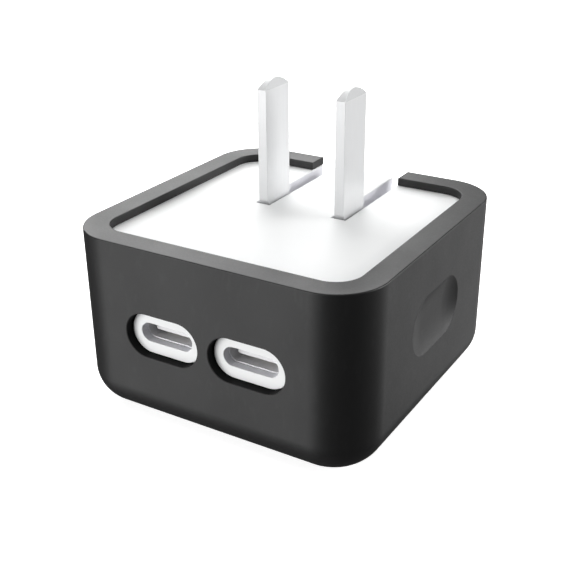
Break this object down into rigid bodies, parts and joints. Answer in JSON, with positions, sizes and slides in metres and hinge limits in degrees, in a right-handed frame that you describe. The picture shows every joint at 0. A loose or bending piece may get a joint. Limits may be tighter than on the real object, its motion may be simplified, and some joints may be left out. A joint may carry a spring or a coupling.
{
  "type": "usb wall charger",
  "caption": "Square wall charger with folding flat blades and USB-C sockets, held in a soft black sleeve with a rear gap for the folded blades.",
  "frame": {"origin": "middle of the sleeve's flat underside, opposite the blades", "axes": "+Z along the standing blades, -Y out of the USB-C sockets, +Y the way the blades fold, X along the blades' hinge"},
  "size_m": [0.046, 0.046, 0.0439],
  "materials": {
    "silicone": "matt",
    "white_plastic": "satin",
    "blade_metal": "bright nickel plate",
    "black_plastic": "moulded",
    "cradle_plastic": "moulded",
    "pin_steel": "ground",
    "spring_bronze": "bare",
    "socket_steel": "nickel plate",
    "socket_insulator": "moulded",
    "contact_gold": "gold plate",
    "circuit_board": "solder mask",
    "chip_black": "moulded",
    "ferrite": "sintered",
    "bobbin_plastic": "moulded",
    "winding_tape": "polyester tape",
    "enamelled_copper": "enamel",
    "capacitor_sleeve": "shrink sleeve",
    "capacitor_can": "bare",
    "film_yellow": "cast",
    "ceramic_blue": "coated",
    "fuse_body": "glazed",
    "inductor_grey": "sintered",
    "pad_grey": "soft",
    "spreader_aluminium": "rolled",
    "insulation": "film"
  },
  "bodies": {
    "charger": {"silicone_sleeve": "silicone", "body_shell": "white_plastic", "face_cover": "white_plastic", "hinge_cradle": "cradle_plastic", "detent_spring": "spring_bronze", "contact_spring_left": "spring_bronze", "contact_spring_right": "spring_bronze", "usb_shell_left": "socket_steel", "usb_shell_right": "socket_steel", "usb_tongue_left": "socket_insulator", "usb_tongue_right": "socket_insulator", "usb_contacts_left": "contact_gold", "usb_contacts_right": "contact_gold", "port_board": "circuit_board", "controller_chips": "chip_black", "board_header": "black_plastic", "main_board": "circuit_board", "transformer_core": "ferrite", "transformer_bobbin": "bobbin_plastic", "transformer_winding": "winding_tape", "choke_core": "ferrite", "choke_winding": "enamelled_copper", "bulk_capacitors": "capacitor_sleeve", "output_capacitors": "capacitor_can", "film_capacitor": "film_yellow", "safety_capacitor": "ceramic_blue", "fuse": "fuse_body", "bridge_rectifier": "chip_black", "output_inductor": "inductor_grey", "power_switch": "chip_black", "thermal_pad": "pad_grey", "heat_spreader": "spreader_aluminium", "insulating_sheet": "insulation"},
    "prongs": {"prong_left": "blade_metal", "prong_right": "blade_metal", "prong_carrier": "black_plastic", "hinge_pin": "pin_steel"}
  },
  "joints": [
    {"name": "prong_fold", "type": "hinge", "parent": "charger", "child": "prongs", "pos_m": [0, 0.0042, 0.02395], "axis": [-1, 0, 0], "range_deg": [0, 90]}
  ]
}
